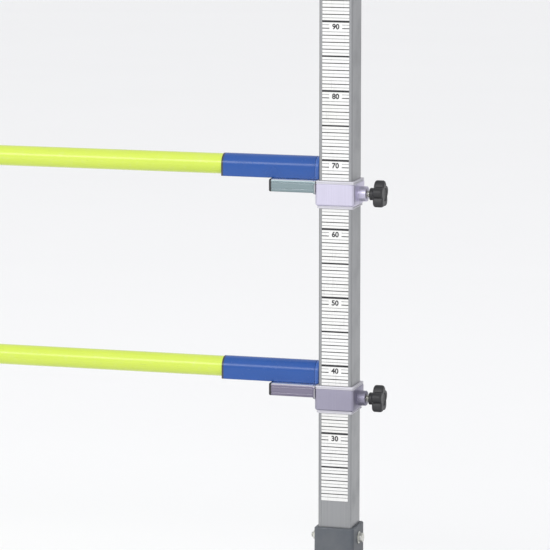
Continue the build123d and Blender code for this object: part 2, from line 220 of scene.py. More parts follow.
def make_lime():
    """Gel-coated glass fibre: faint lengthwise fibres under the coat, ground-in grey scuffs and dust."""
    colour = (0.52, 0.645, 0.055)
    finish = Finish("bar_lime", colour, 0.26, Coat_Weight=0.35, Coat_Roughness=0.12)
    fibres = finish.noise((0.12, 0.0007, 0.0007), detail=3.0)
    waves = finish.noise((0.18, 0.02, 0.02), detail=3.0, offset=2.0)
    scuff_noise = finish.noise((0.02, 0.003, 0.003), detail=6.0, offset=9.0)
    scuffs = finish.between(scuff_noise, 0.66, 0.73, 0.0, 0.55)
    dust = finish.between(finish.noise(0.008, detail=6.0, offset=4.0), 0.55, 0.8, 0.0, 0.3)
    finish.tint(finish.between(fibres, 0.3, 0.7, 0.0, 0.5), (0.56, 0.67, 0.1))
    finish.tint(finish.between(waves, 0.45, 0.75, 0.0, 0.4), (0.44, 0.58, 0.035))
    finish.tint(dust, (0.54, 0.6, 0.24))
    finish.tint(scuffs, (0.3, 0.35, 0.1))
    finish.roughen(finish.between(waves, 0.3, 0.7), 0.1)
    finish.roughen(scuffs, 0.25)
    finish.relief(fibres, 0.00003).relief(waves, 0.0001)
    return finish.done()


def make_paint():
    """Powder coat: orange peel, with the steel's primer showing where edges are chipped."""
    finish = Finish("base_paint", (0.075, 0.085, 0.1), 0.42)
    peel = finish.noise(0.0016, detail=1.5)
    dust = finish.noise(0.06, detail=7.0, roughness=0.65, offset=2.2)
    edges = finish.edges(0.0015)
    patches = finish.between(finish.noise(0.006, detail=5.0, offset=6.0), 0.55, 0.6)
    chips = finish.math("MULTIPLY", edges, patches)
    finish.tint(finish.between(dust, 0.45, 0.8, 0.0, 0.35), (0.2, 0.2, 0.2))
    finish.tint(chips, (0.36, 0.36, 0.37))
    finish.roughen(finish.between(dust, 0.4, 0.7), 0.18)
    finish.relief(peel, 0.00012).relief(chips, -0.00008)
    return finish.done(0.001)


def make_rubber():
    """Matt moulded rubber with floor dust on it."""
    finish = Finish("rubber", (0.018, 0.018, 0.019), 0.75, Specular_IOR_Level=0.3)
    pits = finish.noise(0.0009, detail=3.0)
    dust = finish.between(finish.noise(0.01, detail=6.0, offset=3.0), 0.45, 0.75, 0.0, 0.5)
    finish.tint(dust, (0.11, 0.105, 0.1)).roughen(dust, 0.15).relief(pits, 0.00006)
    return finish.done()


def make_zinc():
    """Bright zinc plating with cloudy passivation and dull spots."""
    colour = (0.66, 0.66, 0.63)
    finish = Finish("zinc_steel", colour, 0.3, Metallic=1.0)
    clouds = finish.noise(0.004, detail=5.0)
    spots = finish.between(finish.noise(0.0012, detail=3.0, offset=4.4), 0.64, 0.7)
    finish.tint(finish.between(clouds, 0.4, 0.7, 0.0, 0.5), (0.6, 0.6, 0.5))
    finish.tint(spots, (0.36, 0.34, 0.3))
    finish.roughen(finish.between(clouds, 0.3, 0.7), 0.15).roughen(spots, 0.25)
    finish.relief(clouds, 0.00004)
    return finish.done()


def make_brass():
    """Turned brass: fine rings round the pad's axis and slight tarnish."""
    finish = Finish("brass", (0.72, 0.5, 0.2), 0.28, Metallic=1.0)
    rings = finish.noise((0.0003, 0.02, 0.02), detail=2.0)
    tarnish = finish.noise(0.003, detail=5.0, offset=1.0)
    finish.tint(finish.between(tarnish, 0.4, 0.7, 0.0, 0.7), (0.42, 0.27, 0.11))
    finish.roughen(tarnish, 0.2).relief(rings, 0.00002)
    return finish.done()


def make_film():
    """White scale film: slightly yellowed, with dust and thin scratches down it."""
    finish = Finish("scale_white", (0.74, 0.74, 0.735), 0.38)
    age = finish.noise(0.09, detail=5.0)
    dust_noise = finish.noise((0.004, 0.004, 0.02), detail=6.0, offset=2.5)
    dust = finish.between(dust_noise, 0.55, 0.8, 0.0, 0.35)
    scratches = finish.between(finish.noise((0.0006, 0.0006, 0.05), detail=2.0, offset=8.0), 0.7, 0.73)
    finish.tint(finish.between(age, 0.4, 0.7, 0.0, 0.6), (0.69, 0.685, 0.655))
    finish.tint(dust, (0.46, 0.455, 0.44))
    finish.tint(scratches, (0.45, 0.45, 0.45))
    finish.roughen(dust, 0.3).relief(scratches, -0.00002).relief(age, 0.0001)
    return finish.done()


def make_ink(name, colour, worn_to, wear_from, most):
    """Black screen print, a little worn through from a level of noise on."""
    finish = Finish(name, colour, 0.5)
    wear = finish.between(finish.noise(0.003, detail=6.0), wear_from, 0.74, 0.0, most)
    finish.tint(wear, (worn_to,) * 3).roughen(wear, 0.2).relief(wear, -0.00001)
    return finish.done()


def make_weld():
    """Weld metal under the base's paint or bare: matt, with fine spatter."""
    finish = Finish("weld_metal", (0.5, 0.5, 0.53), 0.45, Metallic=1.0)
    spatter = finish.noise(0.0012, detail=4.0)
    heat = finish.noise(0.008, detail=3.0, offset=3.0)
    finish.tint(finish.between(heat, 0.4, 0.7, 0.0, 0.6), (0.36, 0.34, 0.36))
    finish.roughen(spatter, 0.2).relief(spatter, 0.0001)
    return finish.done()


def make_floor_finish():
    """Pale studio floor with the faintest unevenness."""
    finish = Finish("studio_floor", (0.9, 0.9, 0.9), 0.6, Specular_IOR_Level=0.15)
    cloud = finish.noise(0.7, detail=4.0)
    grain = finish.noise(0.003, detail=2.0, offset=1.0)
    finish.tint(finish.between(cloud, 0.3, 0.7, 0.0, 0.5), (0.885, 0.885, 0.885))
    finish.roughen(cloud, 0.05).relief(grain, 0.00004)
    return finish.done()


BLACK_GRAIN, BLUE_GRAIN = 0.0006, 0.0009
# How far past the mouth the painted shade on the end pieces reaches, and over how much it fades.
MOUTH_SHADE_REACH, MOUTH_SHADE_FADE = 0.0022, 0.0015
MOUTH_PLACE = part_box("upper_right_end_piece")[0].x
MOUTH_SHADE_TO = MOUTH_PLACE + MOUTH_SHADE_REACH
MATERIALS = {
    "upright_aluminium": drawn_metal("upright_aluminium", (0.34, 0.345, 0.354), 0.34, UPWARDS, 0.0004),
    # Painted light: both sliders are one metal; the upper copy is painted lighter, as if lit, and the
    # lower copy darker, as if in shade.
    "upper_slider": drawn_metal("slider_painted_lit", (0.62, 0.595, 0.725), 0.36, UPWARDS, 0.0006),
    "lower_slider": drawn_metal("slider_painted_shaded", (0.35, 0.335, 0.425), 0.4, UPWARDS, 0.0006),
    # Painted light: both supports are one grey metal; the upper copy is painted lighter and greenish, the
    # lower darker and violet-grey, and both get a painted highlight on their upward faces.
    "upper_support": drawn_metal(
        "support_painted_lit_greenish", (0.26, 0.33, 0.35), 0.3, LENGTHWISE, 0.0005, painted_top_light=0.9
    ),
    "lower_support": drawn_metal(
        "support_painted_shaded_greyish", (0.235, 0.215, 0.29), 0.34, LENGTHWISE, 0.0005, painted_top_light=0.9
    ),
    "scale_white": make_film(),
    "scale_ink": make_ink("scale_ink", (0.012, 0.012, 0.014), 0.3, 0.62, 0.4),
    "scale_fine_ink": make_ink("scale_fine_ink", (0.1, 0.1, 0.105), 0.35, 0.5, 0.6),
    "base_paint": make_paint(),
    "rubber": make_rubber(),
    "zinc_steel": make_zinc(),
    "brass": make_brass(),
    "weld": make_weld(),
    "bar_lime": make_lime(),
}
for plastic in (
    ("black_plastic", (0.022, 0.022, 0.024), 0.45, BLACK_GRAIN, (0.1, 0.1, 0.1), 0.0008),
    ("knob_plastic", (0.018, 0.018, 0.02), 0.4, BLACK_GRAIN, (0.12, 0.12, 0.12), 0.001),
    ("glide_plastic", (0.56, 0.55, 0.6), 0.42, BLACK_GRAIN, (0.6, 0.6, 0.6), 0.0006),
    ("end_blue", (0.011, 0.07, 0.295), 0.2, BLUE_GRAIN, (0.09, 0.16, 0.4), 0.0012, MOUTH_SHADE_TO),
    ("end_cap_blue", (0.03, 0.1, 0.36), 0.26, BLUE_GRAIN, (0.22, 0.3, 0.56), 0.0012),
):
    MATERIALS[plastic[0]] = moulded(*plastic)


# Mesh building ----------------------------------------------------------------------------------

SMALLEST_CORNER = 0.2 * MM


def add_object(name, data):
    """Put a new object into the scene."""
    thing = bpy.data.objects.new(name, data)
    bpy.context.scene.collection.objects.link(thing)
    return thing
class Shape:
    """Faces gathered ring by ring into one mesh."""

    def __init__(self):
        self.points, self.faces = [], []

    def loft(self, rings, caps=True, loop=False):
        """Join rings of equally many points; close the two end rings, or join the last to the first."""
        start, count = len(self.points), len(rings[0])
        for ring in rings:
            self.points.extend(ring)
        steps = len(rings) if loop else len(rings) - 1
        for step in range(steps):
            here, there = start + step * count, start + (step + 1) % len(rings) * count
            for k in range(count):
                after = (k + 1) % count
                self.faces.append((here + k, here + after, there + after, there + k))
        if caps and not loop:
            last = start + (len(rings) - 1) * count
            self.faces.append(tuple(range(start + count - 1, start - 1, -1)))
            self.faces.append(tuple(range(last, last + count)))
        return self

    def block(self, low, high):
        """Add a closed box between two corners."""
        corners = ((low[0], low[1]), (high[0], low[1]), (high[0], high[1]), (low[0], high[1]))
        return self.loft([[Vector((x, y, z)) for x, y in corners] for z in (low[2], high[2])])

    def piece(self, name, material, body, slot=None, replaced=(), smooth_below=32):
        """Turn what was gathered into an object that rides on a body."""
        mesh = bpy.data.meshes.new(name)
        mesh.from_pydata(self.points, [], self.faces)
        cleaner = bmesh.new()
        cleaner.from_mesh(mesh)
        bmesh.ops.remove_doubles(cleaner, verts=cleaner.verts, dist=1e-6)
        bmesh.ops.recalc_face_normals(cleaner, faces=cleaner.faces)
        cleaner.to_mesh(mesh)
        cleaner.free()
        mesh.shade_smooth()
        mesh.set_sharp_from_angle(angle=math.radians(smooth_below))
        mesh.materials.append(MATERIALS[material])
        thing = add_object(name, mesh)
        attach(thing, body)
        if replaced:
            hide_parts(*replaced)


def local(origin, axis, up=UP):
    """Function from (across, up, along the axis) to a point in the frame."""
    axis, up = Vector(axis), Vector(up)
    across = up.cross(axis)
    return lambda a, b, c: Vector(origin) + across * a + up * b + axis * c


def angles(count):
    """Angles that share out a full turn equally, from 0."""
    return [2 * math.pi * k / count for k in range(count)]


def polar(radius, angle):
    """Point at a distance and an angle from the origin."""
    return radius * math.cos(angle), radius * math.sin(angle)


def circle(radius, count=48):
    """Outline of a circle round the origin."""
    return [polar(radius, angle) for angle in angles(count)]


def quarter_round(radius, steps):
    """Pairs round a quarter circle: the first grows from 0 to the radius, the second shrinks to 0."""
    turns = [math.pi / 2 * k / steps for k in range(steps + 1)]
    return [(radius * (1 - math.cos(t)), radius * (1 - math.sin(t))) for t in turns]


def rounded_rectangle(width, height, corner, steps=8):
    """Outline round the origin, anticlockwise from where the right side meets the upper corner."""
    points = []
    for quarter, (sx, sy) in enumerate(((1, 1), (-1, 1), (-1, -1), (1, -1))):
        centre = (sx * (width / 2 - corner), sy * (height / 2 - corner))
        for k in range(steps + 1):
            t = math.pi / 2 * (quarter + k / steps)
            points.append((centre[0] + corner * math.cos(t), centre[1] + corner * math.sin(t)))
    return points


def grooved_rectangle(width, height, corner, groove, place):
    """Rounded rectangle with two grooves in each upright side, a place above and below its middle."""
    arcs = rounded_rectangle(width, height, corner)
    half, lip = len(arcs) // 2, 0.6 * MM
    side = []
    for middle in (-place, place):
        for rise, depth in ((-lip, 0), (-lip / 2, groove), (lip / 2, groove), (lip, 0)):
            side.append((width / 2 - depth, middle + rise))
    opposite = [(-a, -b) for a, b in side]
    return arcs[:half] + opposite + arcs[half:] + side


def end_outline(inset, radius, foot, corner, steps=24):
    """Half-round top on straight sides and a flat bottom, all smaller by inset.

    Foot is how far the bottom is below the round's centre.
    """
    points = [polar(radius - inset, math.pi * k / steps) for k in range(steps + 1)]
    small = max(corner - inset, SMALLEST_CORNER)
    side, bottom = radius - inset, -(foot - inset)
    for centre, first in ((-side + small, math.pi), (side - small, 1.5 * math.pi)):
        for k in range(steps // 4 + 1):
            t = first + math.pi / 2 * k / (steps // 4)
            points.append((centre + small * math.cos(t), bottom + small + small * math.sin(t)))
    return points


def hexagon(flats, limit, count=72):
    """Hexagon across flats, cut off by a circle, as a chamfer does."""
    points = []
    for angle in angles(count):
        within = (angle + math.pi / 6) % (math.pi / 3) - math.pi / 6
        points.append(polar(min(flats / 2 / math.cos(within), limit), angle))
    return points


def rings_along(to_frame, outlines):
    """Rings from (distance along, outline) pairs."""
    return [[to_frame(a, b, along) for a, b in outline] for along, outline in outlines]


def thread_rings(to_frame, start, end, radius, pitch, depth, count=24):
    """Rings of a helical thread whose crest reaches the radius, with tapered ends."""
    steps_a_turn, bluntness = 8, 1.6
    steps = max(2, round((end - start) / pitch * steps_a_turn))
    rings = []
    for step in range(steps + 1):
        along = start + (end - start) * step / steps
        runout = min(1.0, (end - along) / pitch, (along - start) / pitch)
        ring = []
        for k, angle in enumerate(angles(count)):
            phase = ((along / pitch) - k / count) % 1.0
            crest = 1 - abs(2 * phase - 1)
            reach = radius - depth * (1 - min(1.0, bluntness * crest) * runout)
            ring.append(to_frame(*polar(reach, angle), along))
        rings.append(ring)
    return rings


def bead(shape, path, radius, closed=False):
    """Add a weld bead along a path: a rope of overlapping ripples."""
    ripple, around = 2.2 * MM, 8
    lengths = [0.0]
    corners = path + [path[0]] if closed else path
    for before, after in zip(corners, corners[1:]):
        lengths.append(lengths[-1] + (after - before).length)
    steps = max(6, round(lengths[-1] / ripple * 4))
    rings, leg = [], 0
    for step in range(steps + (0 if closed else 1)):
        travel = lengths[-1] * step / steps
        while leg < len(lengths) - 2 and travel > lengths[leg + 1]:
            leg += 1
        share = (travel - lengths[leg]) / (lengths[leg + 1] - lengths[leg])
        point = corners[leg].lerp(corners[leg + 1], share)
        along = (corners[leg + 1] - corners[leg]).normalized()
        across = along.orthogonal().normalized()
        other = along.cross(across)
        swell = radius * (0.82 + 0.18 * abs(math.sin(math.pi * travel / ripple)))
        rings.append([point + (across * a + other * b) * swell for a, b in circle(1, around)])
    return shape.loft(rings, loop=closed)


def dress(node, material):
    """Give a CAD node its finish."""
    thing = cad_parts[node]
    thing.data.materials.clear()
    thing.data.materials.append(MATERIALS[material])


# Stands -----------------------------------------------------------------------------------------


def make_scale(hand):
    """Printed marks on the tape, and the numerals.

    A fine line each 5 mm, a plain one each centimetre, and heavier ones each 5 and 10 cm. The two lines
    behind each numeral stop short of it on both sides.
    """
    low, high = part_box(f"{hand}_scale_tape")
    front, ink, sunk = low.y, 0.06 * MM, 0.02 * MM
    middle, gap = (low.x + high.x) / 2, 9.5 * MM
    ten, five, one, fine = 3.0 * MM, 2.4 * MM, 1.3 * MM, 0.7 * MM
    centimetres, halves = Shape(), Shape()
    for half in range(round(low.z * 200) + 1, round(high.z * 200)):
        z = half / 200
        thickness = {0: ten, 10: five}.get(half % 20, fine if half % 2 else one)
        runs = [(low.x, high.x)]
        if half % 20 in (18, 19):
            runs = [(low.x, middle - gap), (middle + gap, high.x)]
        for start, end in runs:
            corners = (start, front - ink, z - thickness / 2), (end, front + sunk, z + thickness / 2)
            (halves if half % 2 else centimetres).block(*corners)
    centimetres.piece(f"{hand}_scale_lines", "scale_ink", "stands", "scale_white")
    halves.piece(f"{hand}_scale_fine_lines", "scale_fine_ink", "stands", "scale_white")
    make_numerals(hand, middle, front, range(math.ceil(low.z * 10), math.floor(high.z * 10) + 1))


def make_numerals(hand, middle, front, decimetres):
    """The height in centimetres, just below each 10 cm line."""
    height, drop, ink = 10.5 * MM, 2.6 * MM, 0.03 * MM
    for decimetre in decimetres:
        letters = bpy.data.curves.new("numeral", "FONT")
        letters.body = str(decimetre * 10)
        letters.size, letters.align_x, letters.align_y = height, "CENTER", "TOP"
        letters.extrude, letters.offset, letters.resolution_u = ink, 0.35 * MM, 6
        source = add_object("numeral_source", letters)
        bpy.context.view_layer.update()
        evaluated = source.evaluated_get(bpy.context.evaluated_depsgraph_get())
        mesh = bpy.data.meshes.new_from_object(evaluated)
        bpy.data.objects.remove(source)
        for vertex in mesh.vertices:
            x, z, y = vertex.co
            vertex.co = (middle + x, front - ink - y, decimetre / 10 - drop + z)
        mesh.materials.clear()
        mesh.materials.append(MATERIALS["scale_ink"])
        numeral = add_object(f"{hand}_numeral_{decimetre * 10}", mesh)
        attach(numeral, "stands")


def make_plug(shape, to_frame, width, height, corner, flange, spigot):
    """Add a tube plug: a rounded flange with a shallow panel, on a ribbed spigot."""
    wall, rib, rib_depth, spigot_corner = 2.7 * MM, 3 * MM, 0.6 * MM, corner - 2.4 * MM
    edge, panel, panel_corner, dip = 1.5 * MM, 5 * MM, 1.5 * MM, 0.7 * MM

    def section(inset, rounding):
        return rounded_rectangle(width - 2 * inset, height - 2 * inset, rounding)

    outlines = [(-spigot, section(wall + 0.5 * MM, spigot_corner))]
    for k in range(int(spigot / rib)):
        for share, inset in ((0.15, rib_depth), (0.3, 0), (0.6, 0), (0.75, rib_depth)):
            outlines.append((-spigot + (k + share) * rib, section(wall + inset, spigot_corner)))
    outlines += [(0, section(wall, spigot_corner)), (0, section(0, corner))]
    for inset, back in quarter_round(edge, 5):
        outlines.append((flange - back, section(inset, corner - inset)))
    for inset, back in ((panel - 0.5 * MM, 0), (panel, 0.2 * MM), (panel + 0.4 * MM, dip)):
        outlines.append((flange - back, section(inset, panel_corner)))
    return shape.loft(rings_along(to_frame, outlines))


def make_end_plugs(hand, side):
    """Plugs in the three open ends of the floor tubes."""
    foot_low, foot_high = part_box(f"{hand}_base_foot")
    leg_low, leg_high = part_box(f"{hand}_base_leg")
    centre = (foot_low + foot_high) / 2
    leg_end = leg_high.x if side > 0 else leg_low.x
    flange = foot_low.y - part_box(f"{hand}_end_plugs")[0].y
    width, height = foot_high.x - foot_low.x, foot_high.z - foot_low.z
    corner, spigot = 4 * MM, 13 * MM
    shape = Shape()
    for origin, axis in (
        ((centre.x, foot_low.y, centre.z), (0, -1, 0)),
        ((centre.x, foot_high.y, centre.z), (0, 1, 0)),
        ((leg_end, 0, centre.z), (side, 0, 0)),
    ):
        make_plug(shape, local(origin, axis), width, height, corner, flange, spigot)
    shape.piece(
        f"{hand}_moulded_end_plugs", "black_plastic", "stands", "black_plastic", [f"{hand}_end_plugs"]
    )


def make_feet(hand, side):
    """Rubber pads with a groove round the side and a soft rim."""
    low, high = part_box(f"{hand}_rubber_feet")
    foot_low, foot_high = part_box(f"{hand}_base_foot")
    length, width, corner, step = 64 * MM, 44 * MM, 8 * MM, 1.2 * MM
    x = (foot_low.x + foot_high.x) / 2
    leg_x = (high.x - width / 2) if side > 0 else (low.x + width / 2)
    # Tenths of the pad's thickness above the floor, and how many steps the side is set in there
    profile = (
        (0, 1.2), (0.4, 0.4), (1.2, 0.1), (3.4, 0.1), (3.9, 1.2),
        (5.1, 1.2), (5.6, 0.1), (8.6, 0.2), (9.6, 0.7), (10, 1.5),
    )
    shape = Shape()
    for centre_x, centre_y, along_x, along_y in (
        (x, low.y + width / 2, length, width),
        (x, high.y - width / 2, length, width),
        (leg_x, 0, width, length),
    ):
        outlines = []
        for tenths, steps in profile:
            narrower = 2 * steps * step
            outline = rounded_rectangle(along_x - narrower, along_y - narrower, corner - steps * MM)
            outlines.append((low.z + tenths / 10 * (high.z - low.z), outline))
        shape.loft(rings_along(local((centre_x, centre_y, 0), (0, 0, 1), (0, 1, 0)), outlines))
    shape.piece(f"{hand}_grooved_feet", "rubber", "stands", "rubber", [f"{hand}_rubber_feet"], 40)


def make_top_cap(hand):
    """Upright's cap: a softly domed head with a shallow step round it."""
    low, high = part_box(f"{hand}_upright_cap")
    top_of_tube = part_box(f"{hand}_upright")[1].z
    width, corner, head = high.x - low.x, 3 * MM, high.z - top_of_tube
    spigot, spigot_corner = 16 * MM, 1.5 * MM
    dome_foot, dome_inset, dome_reach = 5.8 * MM, 1.6 * MM, 22 * MM

    def section(inset, rounding):
        return rounded_rectangle(width - 2 * inset, width - 2 * inset, rounding)

    outlines = [(-spigot, section(4.5 * MM, spigot_corner)), (0, section(3.5 * MM, spigot_corner))]
    for inset, along in (
        (0, 0), (0, 3.2), (0.8, 3.3), (0.8, 3.9), (0.05, 4.0), (0.1, 4.6), (0.6, 5.3), (1.6, 5.8)
    ):
        outlines.append((along * MM, section(inset * MM, corner)))
    for k in range(1, 7):
        share = k / 6
        rise = dome_foot + (head - dome_foot) * math.sin(math.pi / 2 * share)
        rounding = max(SMALLEST_CORNER, corner * (1 - share))
        outlines.append((rise, section(dome_inset + share * dome_reach, rounding)))
    to_frame = local(((low.x + high.x) / 2, 0, top_of_tube), (0, 0, 1), (0, 1, 0))
    Shape().loft(rings_along(to_frame, outlines)).piece(
        f"{hand}_domed_cap", "black_plastic", "stands", "black_plastic", [f"{hand}_upright_cap"]
    )


def make_fasteners(hand, side):
    """Flanged hex bolts with threaded tips, and their flanged nuts."""
    low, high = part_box(f"{hand}_socket_bolts")
    socket_low, socket_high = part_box(f"{hand}_socket")
    outer = socket_high.x if side > 0 else socket_low.x
    inner = socket_low.x if side > 0 else socket_high.x
    flats, chamfer, flange, count = 13 * MM, 7.3 * MM, 9 * MM, 72
    radius, bore, pitch, thread_depth = 4 * MM, 4.1 * MM, 1.25 * MM, 0.65 * MM
    tip, threaded = high.x - low.x - 7 * MM, 20 * MM
    skirt = [
        (0, circle(flange - 0.3 * MM, count)),
        (0.3 * MM, circle(flange, count)),
        (0.8 * MM, circle(flange, count)),
        (1.6 * MM, circle(7.4 * MM, count)),
        (1.7 * MM, hexagon(flats, chamfer)),
    ]
    head = skirt + [
        (5.9 * MM, hexagon(flats, chamfer)),
        (6.6 * MM, hexagon(flats - 0.2 * MM, 6.5 * MM)),
        (6.9 * MM, circle(5.9 * MM, count)),
        (6.7 * MM, circle(4.6 * MM, count)),
    ]
    plain = circle(radius - 0.02 * MM)
    shank = [(0, plain), (tip - threaded, plain)]
    nut = [(0, circle(bore, count))] + skirt + [
        (7.2 * MM, hexagon(flats, chamfer)),
        (7.8 * MM, hexagon(flats - 0.2 * MM, 6.5 * MM)),
        (8 * MM, circle(5.6 * MM, count)),
        (7.4 * MM, circle(bore, count)),
    ]
    bolts, nuts = Shape(), Shape()
    for z in (low.z + flange, high.z - flange):
        bolts.loft(rings_along(local((outer, 0, z), (side, 0, 0)), head))
        back = local((outer, 0, z), (-side, 0, 0))
        bolts.loft(rings_along(back, shank))
        bolts.loft(thread_rings(back, tip - threaded - 0.5 * MM, tip, radius, pitch, thread_depth))
        nuts.loft(rings_along(local((inner, 0, z), (-side, 0, 0)), nut), loop=True)
    bolts.piece(
        f"{hand}_flanged_bolts", "zinc_steel", "stands", "zinc_steel", [f"{hand}_socket_bolts"], 28
    )
    nuts.piece(f"{hand}_flanged_nuts", "zinc_steel", "stands", "zinc_steel", [f"{hand}_socket_nuts"], 28)


def make_base_welds(hand, side):
    """Beads that join the socket, the gussets and the leg to the foot."""
    low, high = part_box(f"{hand}_socket")
    gusset_low, gusset_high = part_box(f"{hand}_gussets")
    leg_low, leg_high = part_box(f"{hand}_base_leg")
    x, floor_top, radius = (low.x + high.x) / 2, low.z, 2.2 * MM
    half, thin, inset = (high.x - low.x) / 2, 2.5 * MM, 5 * MM
    small = radius * 0.8
    shape = Shape()

    def gusset_beads(corner, start, tip):
        """Beads on one side of a gusset: along its foot from a start to its tip, and up its corner."""
        bead(shape, [Vector((*start, floor_top)), Vector((*tip, floor_top))], small)
        bead(shape, [Vector((*corner, floor_top + MM)), Vector((*corner, gusset_high.z - MM))], small)

    for y in (-half, half):
        for start, end in ((x - half + inset, x - thin - MM), (x + thin + MM, x + half - inset)):
            bead(shape, [Vector((start, y, floor_top)), Vector((end, y, floor_top))], radius)
    outer = x + side * half
    leg_tip = gusset_high.x if side > 0 else gusset_low.x
    for flank in (-thin, thin):
        for sense, foot_tip in ((-1, gusset_low.y), (1, gusset_high.y)):
            y = sense * half
            gusset_beads((x + flank, y), (x + flank, y + sense * MM), (x + flank, foot_tip))
        gusset_beads((outer, flank), (outer + side * MM, flank), (leg_tip, flank))
    leg_root = leg_low.x if side > 0 else leg_high.x
    to_frame = local((leg_root, 0, (leg_low.z + leg_high.z) / 2), (side, 0, 0))
    outline = rounded_rectangle(leg_high.y - leg_low.y - MM, leg_high.z - leg_low.z - MM, 4 * MM, 4)
    bead(shape, [to_frame(a, b, 0.5 * MM) for a, b in outline], small, closed=True)
    shape.piece(f"{hand}_base_welds", "base_paint", "stands", "base_paint", smooth_below=60)


def make_stand(hand, side):
    """Everything of one stand that doesn't slide."""
    dress(f"{hand}_upright", "upright_aluminium")
    dress(f"{hand}_scale_tape", "scale_white")
    for part in ("base_foot", "base_leg", "socket", "gussets"):
        dress(f"{hand}_{part}", "base_paint")
    make_scale(hand)
    make_end_plugs(hand, side)
    make_feet(hand, side)
    make_top_cap(hand)
    make_fasteners(hand, side)
    make_base_welds(hand, side)


# Sliders ----------------------------------------------------------------------------------------

SUPPORT_CORNER, SUPPORT_WALL = 3 * MM, 2.2 * MM
SHOULDER_LENGTH, SHOULDER_MARGIN = 3.3 * MM, 1.5 * MM
UPPER_LIP_INSET, LOWER_LIP_INSET = 0.6 * MM, 2.4 * MM


def make_glides(prefix, hand, body):
    """Guide rings in the sleeve's two mouths: each has a grooved lip outside and a thin wall inside."""
    low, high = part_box(f"{prefix}_glides")
    sleeve_low, sleeve_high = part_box(f"{prefix}_slider")
    upright_low, upright_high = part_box(f"{hand}_upright")
    x, play = (low.x + high.x) / 2, 0.2 * MM
    width = high.x - low.x + 2 * UPPER_LIP_INSET
    depth = high.y - low.y + 2 * UPPER_LIP_INSET
    corner, soft, groove = 2.6 * MM, 0.8 * MM, 0.8 * MM
    inside, insert_width, insert_corner = 9 * MM, 53.9 * MM, 2 * MM
    bore = upright_high.x - upright_low.x + play
    bore_outline = rounded_rectangle(bore, bore, corner)
    insert = rounded_rectangle(insert_width, insert_width, insert_corner)
    insert_tip = rounded_rectangle(insert_width - MM, insert_width - MM, insert_corner)
    shape = Shape()
    for shoulder, end, inset in (
        (sleeve_high.z, high.z, UPPER_LIP_INSET),
        (sleeve_low.z, low.z, LOWER_LIP_INSET),
    ):
        lip = abs(end - shoulder)
        to_frame = local((x, 0, shoulder), (0, 0, math.copysign(1, end - shoulder)), (0, 1, 0))
        profile = [(0, 0), (0.24, 0), (0.3, groove), (0.5, groove), (0.56, 0), (1 - soft / lip, 0)]
        profile += [(1 - 0.3 * soft / lip, 0.3 * soft), (1, soft)]
        outlines = []
        for share, more in profile:
            narrower = 2 * (inset + more)
            outlines.append((share * lip, rounded_rectangle(width - narrower, depth - narrower, corner)))
        outlines += [(lip, bore_outline), (-inside, bore_outline), (-inside, insert_tip)]
        outlines += [(MM - inside, insert), (0, insert)]
        shape.loft(rings_along(to_frame, outlines), loop=True)
    shape.piece(
        f"{prefix}_grooved_glides", "glide_plastic", body, "glide_plastic", [f"{prefix}_glides"], 25
    )


def support_measures(prefix, side):
    """The support's root, length, depth and height without its shoulder, and a frame at the root."""
    low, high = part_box(f"{prefix}_support")
    root, tip = (high.x, low.x) if side > 0 else (low.x, high.x)
    depth = high.y - low.y - 2 * SHOULDER_MARGIN
    height = high.z - low.z - SHOULDER_MARGIN
    to_frame = local((root, 0, high.z - height / 2), (-side, 0, 0))
    return to_frame, abs(tip - root), depth, height


def make_support(prefix, side, body, metal):
    """Flat grooved extrusion that carries the bar, with its thicker root and the weld to the sleeve."""
    to_frame, length, depth, height = support_measures(prefix, side)
    place = height / 2 - 5 * MM
    soft, groove = 0.5 * MM, 0.7 * MM

    def section(inset, cut=0.0):
        corner = max(0.4 * MM, SUPPORT_CORNER - inset)
        return grooved_rectangle(depth - 2 * inset, height - 2 * inset, corner, cut, place)

    def shoulder(inset):
        grown = SHOULDER_MARGIN - inset
        corner = SUPPORT_CORNER + MM
        outline = grooved_rectangle(depth + 2 * grown, height + grown - inset, corner, 0.0, place)
        return [(a, b - SHOULDER_MARGIN / 2) for a, b in outline]

    outlines = [(0, shoulder(0)), (SHOULDER_LENGTH - soft, shoulder(0))]
    outlines += [(SHOULDER_LENGTH, shoulder(soft)), (SHOULDER_LENGTH, section(0, groove))]
    outlines += [(length - soft / 2, section(0, groove)), (length, section(soft / 2, groove))]
    outlines += [(length, section(SUPPORT_WALL)), (0, section(SUPPORT_WALL))]
    shape = Shape().loft(rings_along(to_frame, outlines), loop=True)
    shape.piece(f"{prefix}_extruded_support", metal, body, "support_aluminium", [f"{prefix}_support"], 40)
    make_support_weld(prefix, body, to_frame, shoulder(0), height)


def make_support_weld(prefix, body, to_frame, outline, height):
    """Bead round the sides and the underside of the support's root, below the sleeve's upper edge."""
    below_edge, radius = 0.6 * MM, 1.1 * MM
    sleeve_top, support_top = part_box(f"{prefix}_slider")[1].z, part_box(f"{prefix}_support")[1].z
    lip = sleeve_top - support_top + height / 2 - below_edge
    below = sorted((p for p in outline if p[1] < lip), key=lambda p: math.atan2(p[0], -p[1]))
    path = [to_frame(a, b, 0.3 * MM) for a, b in [(below[0][0], lip), *below, (below[-1][0], lip)]]
    weld = bead(Shape(), path, radius)
    weld.piece(f"{prefix}_support_weld", "weld", body, "support_aluminium", smooth_below=60)


